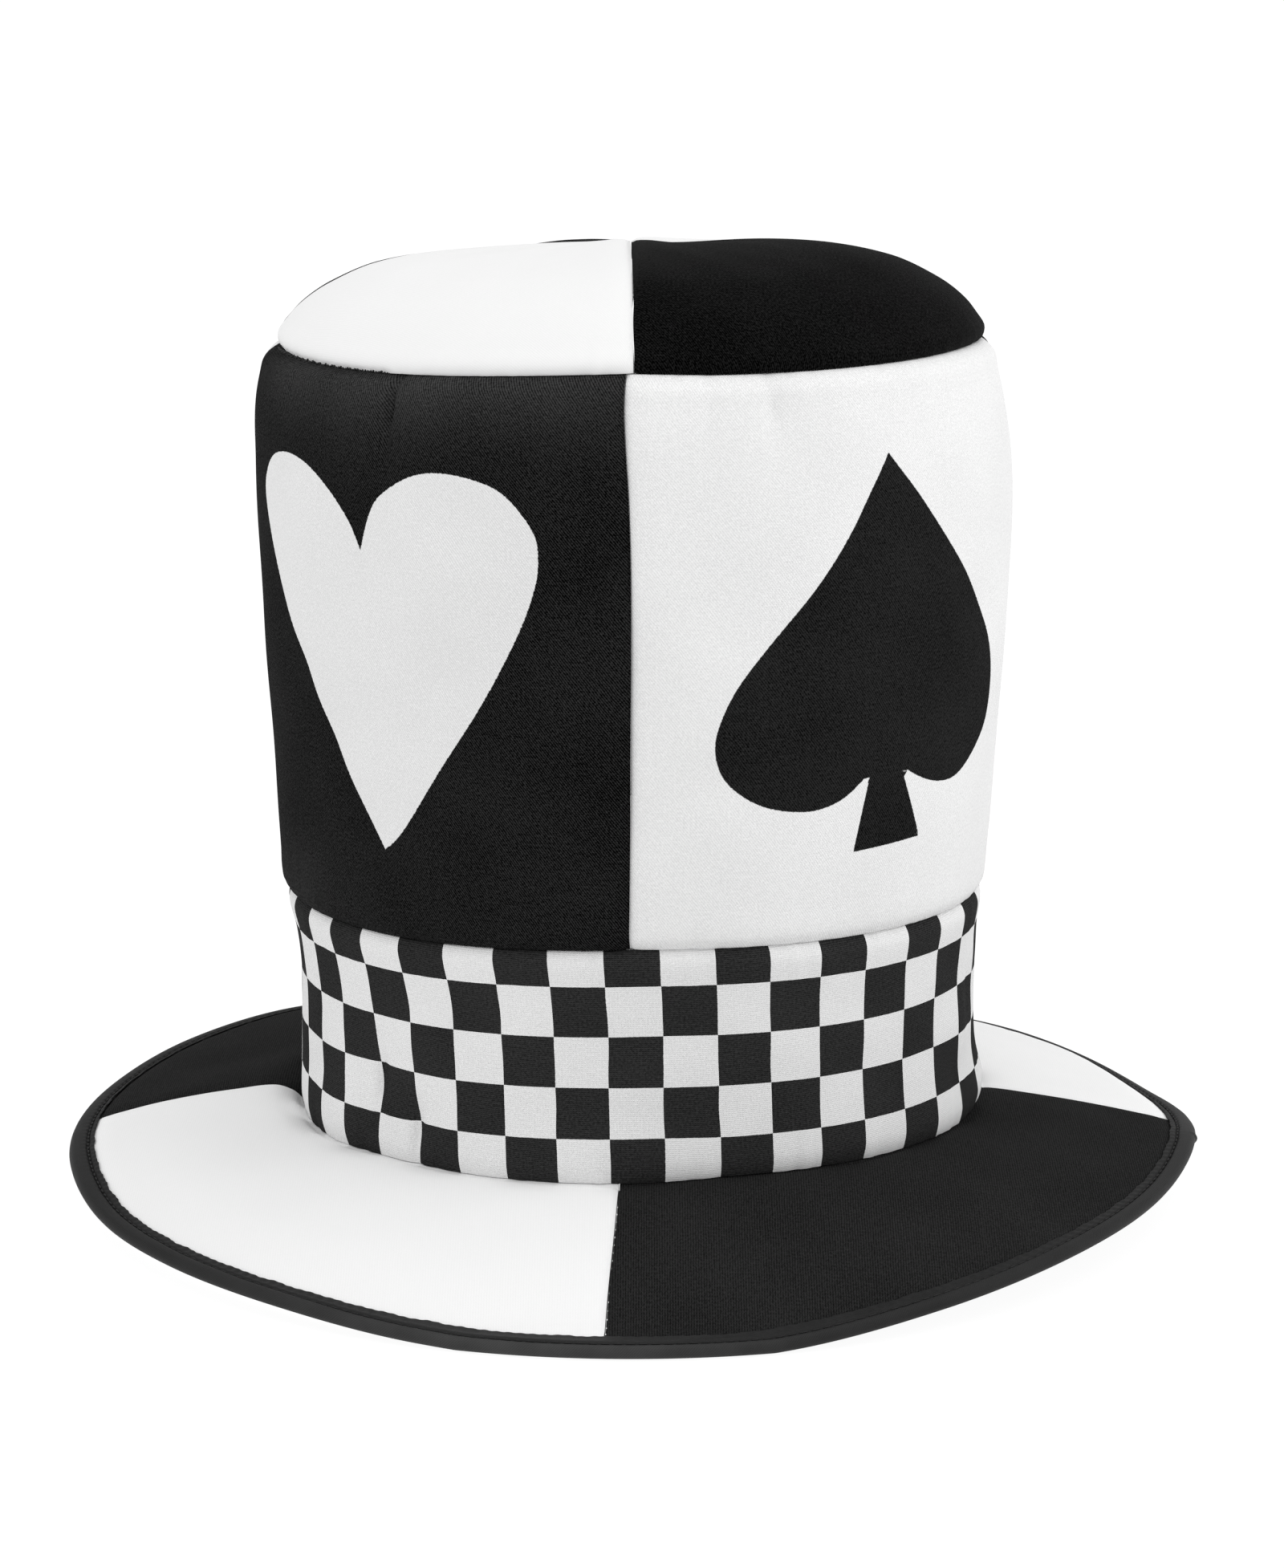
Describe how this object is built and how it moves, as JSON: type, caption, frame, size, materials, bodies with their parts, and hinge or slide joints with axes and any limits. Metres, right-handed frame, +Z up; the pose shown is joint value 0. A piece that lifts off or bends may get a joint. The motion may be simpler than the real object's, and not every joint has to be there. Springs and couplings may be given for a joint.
{
  "type": "novelty top hat",
  "caption": "Soft foam-backed costume top hat with quartered black and white crown, card suit prints, checked band and a bound, gently waved brim.",
  "frame": {"origin": "under the middle of the hat, on the surface it rests on", "axes": "+Z up through the tip, the front faces -Y, +X to the right as the front is looked at"},
  "size_m": [0.3352, 0.336, 0.2772],
  "materials": {
    "white_cloth": "matt fine weave over foam",
    "black_cloth": "matt fine weave over foam",
    "check_cloth": "matt knit with black and white checks",
    "binding_tape": "soft sheen bias tape"
  },
  "bodies": {
    "root": {"tip_front_left": "white_cloth", "tip_front_right": "black_cloth", "tip_back_left": "black_cloth", "tip_back_right": "white_cloth", "crown_front_left": "black_cloth", "crown_front_right": "white_cloth", "crown_back_left": "white_cloth", "crown_back_right": "black_cloth", "check_band": "check_cloth", "brim_front_left": "white_cloth", "brim_front_right": "black_cloth", "brim_back_left": "black_cloth", "brim_back_right": "white_cloth", "brim_binding": "binding_tape"}
  },
  "joints": []
}
